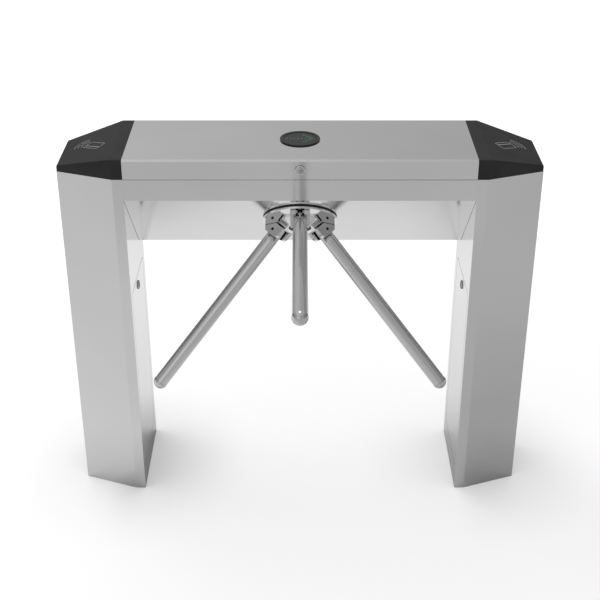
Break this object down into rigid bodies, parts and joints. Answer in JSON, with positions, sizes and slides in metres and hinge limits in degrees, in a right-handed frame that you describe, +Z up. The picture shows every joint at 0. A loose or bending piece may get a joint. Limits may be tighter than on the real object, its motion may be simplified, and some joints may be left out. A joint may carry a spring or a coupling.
{
  "type": "tripod turnstile",
  "caption": "Bridge-type tripod turnstile in stainless steel: sloping hub with turning arms, hexagonal legs with access doors, hinged lid with a lamp arrow.",
  "frame": {"origin": "on the floor, midway between the legs, at the centre of the outer anchor pattern", "axes": "+X along the lane from one leg to the other, +Y from the arms' side to the back, +Z up"},
  "size_m": [1.2, 0.7851, 0.983],
  "materials": {
    "satin_steel": "satin stainless steel, close to a mirror",
    "polished_steel": "polished stainless steel",
    "lock_chrome": "bright chrome",
    "plain_steel": "plain zinc-plated steel",
    "bearing_steel": "ground bearing steel",
    "cast_housing": "cast and machined",
    "motor_paint": "black paint",
    "supply_case": "plain sheet",
    "black_plastic": "fine-grained black",
    "dark_window": "smooth dark window",
    "lamp_green": "clear green lamp",
    "board_green": "solder mask",
    "black_rubber": "matt"
  },
  "bodies": {
    "frame": {"left_leg_shell": "satin_steel", "right_leg_shell": "satin_steel", "left_base_plate": "plain_steel", "right_base_plate": "plain_steel", "door_hinge_pins": "plain_steel", "join_bolts": "plain_steel", "bridge_body": "satin_steel", "bridge_ends": "satin_steel", "bridge_rim": "satin_steel", "lid_gasket": "black_rubber", "lid_hinge_pins": "plain_steel", "left_cap": "black_plastic", "right_cap": "black_plastic", "card_readers": "black_plastic", "hub_seal": "black_rubber", "bearing_housing": "cast_housing", "housing_nuts": "plain_steel", "bearing_outer_rings": "bearing_steel", "bearing_balls": "bearing_steel", "bearing_clips": "plain_steel", "drive_motor": "motor_paint", "position_sensors": "black_plastic", "control_board": "board_green", "power_supply": "supply_case"},
    "left_door_leaf": {"left_door": "satin_steel", "left_lock_body": "lock_chrome"},
    "right_door_leaf": {"right_door": "satin_steel", "right_lock_body": "lock_chrome"},
    "left_door_cam": {"left_lock_cam": "lock_chrome"},
    "right_door_cam": {"right_lock_cam": "lock_chrome"},
    "lid_panel": {"lid": "satin_steel", "lid_lock_body": "lock_chrome", "indicator_bezel": "black_plastic", "indicator_window": "dark_window", "indicator_lamps": "lamp_green"},
    "lid_cam": {"lid_lock_cam": "lock_chrome"},
    "hub": {"hub_flange": "polished_steel", "hub_core": "polished_steel", "hub_plug": "black_plastic", "core_bolt": "plain_steel", "front_fork": "polished_steel", "left_fork": "polished_steel", "right_fork": "polished_steel", "fork_bolts": "plain_steel", "fork_bushes": "black_plastic", "fork_screws": "plain_steel", "front_arm_root": "polished_steel", "left_arm_root": "polished_steel", "right_arm_root": "polished_steel", "front_arm": "polished_steel", "left_arm": "polished_steel", "right_arm": "polished_steel", "arm_tips": "polished_steel", "bearing_inner_rings": "bearing_steel", "main_shaft": "plain_steel", "drive_gear": "plain_steel", "gear_key": "plain_steel", "sensor_disc": "black_plastic", "shaft_nut": "plain_steel"},
    "motor_rotor": {"motor_pinion": "plain_steel"}
  },
  "joints": [
    {"name": "hub_spin", "type": "hinge", "parent": "frame", "child": "hub", "pos_m": [0, -0.02191, 0.81814], "axis": [0, -0.7071, -0.7071], "continuous": true},
    {"name": "motor_spin", "type": "hinge", "parent": "frame", "child": "motor_rotor", "pos_m": [0.09, -0.02191, 0.81814], "axis": [0, -0.7071, -0.7071], "continuous": true},
    {"name": "lid_hinge", "type": "hinge", "parent": "frame", "child": "lid_panel", "pos_m": [0, 0.1442, 0.929], "axis": [-1, 0, 0], "range_deg": [0, 85]},
    {"name": "lid_lock_turn", "type": "hinge", "parent": "lid_panel", "child": "lid_cam", "pos_m": [0, -0.14, 0.9545], "axis": [0, -1, 0], "range_deg": [-90, 0]},
    {"name": "left_door_hinge", "type": "hinge", "parent": "frame", "child": "left_door_leaf", "pos_m": [-0.438, 0.116, 0.33], "axis": [0, 0, 1], "range_deg": [0, 100]},
    {"name": "right_door_hinge", "type": "hinge", "parent": "frame", "child": "right_door_leaf", "pos_m": [0.438, 0.116, 0.33], "axis": [0, 0, -1], "range_deg": [0, 100]},
    {"name": "left_door_lock_turn", "type": "hinge", "parent": "left_door_leaf", "child": "left_door_cam", "pos_m": [-0.431, -0.006, 0.571], "axis": [1, 0, 0], "range_deg": [-90, 0]},
    {"name": "right_door_lock_turn", "type": "hinge", "parent": "right_door_leaf", "child": "right_door_cam", "pos_m": [0.431, -0.006, 0.571], "axis": [1, 0, 0], "range_deg": [-90, 0]}
  ],
  "couplings": [
    {"joint": "motor_spin", "follows": "hub_spin", "ratio": -4}
  ]
}
